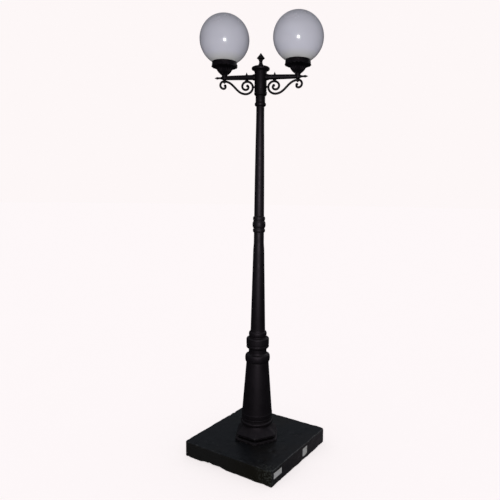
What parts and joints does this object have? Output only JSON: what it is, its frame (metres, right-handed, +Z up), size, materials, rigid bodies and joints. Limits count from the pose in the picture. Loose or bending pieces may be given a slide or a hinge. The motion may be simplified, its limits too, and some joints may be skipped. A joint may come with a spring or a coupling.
{
  "type": "street lamp post",
  "caption": "Post lamp with a square slab, a hexagonal foot, a tapered column with moulded collars, and a head with opposed arms, scroll brackets and opal globes",
  "frame": {"origin": "on the column's axis, in the plane of the slab's underside; the slab's centre lies 7 mm off it", "axes": "+Z up along the column; the two arms lie along X; the slab and the foot are turned 22 degrees clockwise, seen from above, against X and Y"},
  "size_m": [0.7019, 0.7053, 2.2774],
  "materials": {
    "slab_paint": "concrete under worn black paint",
    "black_paint": "satin black paint on castings",
    "bracket_paint": "satin black paint on bars and cups",
    "opal_globe": "opal, glossy",
    "zinc_steel": "zinc plated",
    "black_rubber": "matt",
    "blank_label": "matt, blank",
    "lampholder_ceramic": "glazed",
    "lamp_glass": "white coated glass",
    "lamp_cap_metal": "bright",
    "terminal_plastic": "matt",
    "lead_insulation": "brown"
  },
  "bodies": {
    "post": {"base_slab": "slab_paint", "label_blank_wide": "blank_label", "label_blank_tall": "blank_label", "foot_bolt_1": "zinc_steel", "foot_bolt_2": "zinc_steel", "foot_bolt_3": "zinc_steel", "cable_grommet": "black_rubber", "post_foot": "black_paint", "lower_shaft": "black_paint", "lower_collar": "black_paint", "middle_shaft": "black_paint", "mid_collar": "black_paint", "upper_shaft": "black_paint", "head_spigot": "black_paint", "tie_tube": "zinc_steel", "tie_plate": "zinc_steel", "tie_nut_lower": "zinc_steel", "tie_nut_upper": "zinc_steel"},
    "head": {"hub": "black_paint", "hub_set_screw_1": "black_paint", "hub_set_screw_2": "black_paint", "hub_set_screw_3": "black_paint", "terminal_block": "terminal_plastic", "arm_left": "bracket_paint", "arm_tip_left": "bracket_paint", "scroll_left": "bracket_paint", "scroll_clip_left": "bracket_paint", "scroll_stud_left": "bracket_paint", "arm_nut_left": "bracket_paint", "cup_left": "bracket_paint", "gasket_left": "black_rubber", "lampholder_left": "lampholder_ceramic", "nipple_left": "zinc_steel", "lamp_lead_left": "lead_insulation", "arm_right": "bracket_paint", "arm_tip_right": "bracket_paint", "scroll_right": "bracket_paint", "scroll_clip_right": "bracket_paint", "scroll_stud_right": "bracket_paint", "arm_nut_right": "bracket_paint", "cup_right": "bracket_paint", "gasket_right": "black_rubber", "lampholder_right": "lampholder_ceramic", "nipple_right": "zinc_steel", "lamp_lead_right": "lead_insulation"},
    "hub_cap": {"hub_cap": "black_paint"},
    "finial": {"finial": "black_paint"},
    "lamp_left": {"lamp_cap_left": "lamp_cap_metal", "lamp_bulb_left": "lamp_glass"},
    "globe_left": {"globe_left": "opal_globe"},
    "thumb_screw_left_1": {"thumb_screw_left_1": "bracket_paint"},
    "thumb_screw_left_2": {"thumb_screw_left_2": "bracket_paint"},
    "thumb_screw_left_3": {"thumb_screw_left_3": "bracket_paint"},
    "lamp_right": {"lamp_cap_right": "lamp_cap_metal", "lamp_bulb_right": "lamp_glass"},
    "globe_right": {"globe_right": "opal_globe"},
    "thumb_screw_right_1": {"thumb_screw_right_1": "bracket_paint"},
    "thumb_screw_right_2": {"thumb_screw_right_2": "bracket_paint"},
    "thumb_screw_right_3": {"thumb_screw_right_3": "bracket_paint"}
  },
  "joints": [
    {"name": "head_swivel", "type": "hinge", "parent": "post", "child": "head", "pos_m": [0, 0, 1.8733], "axis": [0, 0, 1], "range_deg": [-170, 170]},
    {"name": "cap_lift", "type": "slide", "parent": "head", "child": "hub_cap", "axis": [0, 0, 1], "range_m": [0, 0.05]},
    {"name": "finial_turn", "type": "hinge", "parent": "hub_cap", "child": "finial", "pos_m": [0, 0, 2.036], "axis": [0, 0, 1], "continuous": true},
    {"name": "globe_left_lift", "type": "slide", "parent": "head", "child": "globe_left", "axis": [0, 0, 1], "range_m": [0, 0.12]},
    {"name": "lamp_left_turn", "type": "hinge", "parent": "head", "child": "lamp_left", "pos_m": [-0.188, 0, 2.036], "axis": [0, 0, 1], "continuous": true},
    {"name": "thumb_screw_left_1_slide", "type": "slide", "parent": "head", "child": "thumb_screw_left_1", "axis": [0.1736, -0.9848, 0], "range_m": [0, 0.006]},
    {"name": "thumb_screw_left_2_slide", "type": "slide", "parent": "head", "child": "thumb_screw_left_2", "axis": [0.766, 0.6428, 0], "range_m": [0, 0.006]},
    {"name": "thumb_screw_left_3_slide", "type": "slide", "parent": "head", "child": "thumb_screw_left_3", "axis": [-0.9397, 0.342, 0], "range_m": [0, 0.006]},
    {"name": "globe_right_lift", "type": "slide", "parent": "head", "child": "globe_right", "axis": [0, 0, 1], "range_m": [0, 0.12]},
    {"name": "lamp_right_turn", "type": "hinge", "parent": "head", "child": "lamp_right", "pos_m": [0.188, 0, 2.036], "axis": [0, 0, 1], "continuous": true},
    {"name": "thumb_screw_right_1_slide", "type": "slide", "parent": "head", "child": "thumb_screw_right_1", "axis": [0.1736, -0.9848, 0], "range_m": [0, 0.006]},
    {"name": "thumb_screw_right_2_slide", "type": "slide", "parent": "head", "child": "thumb_screw_right_2", "axis": [0.766, 0.6428, 0], "range_m": [0, 0.006]},
    {"name": "thumb_screw_right_3_slide", "type": "slide", "parent": "head", "child": "thumb_screw_right_3", "axis": [-0.9397, 0.342, 0], "range_m": [0, 0.006]}
  ]
}
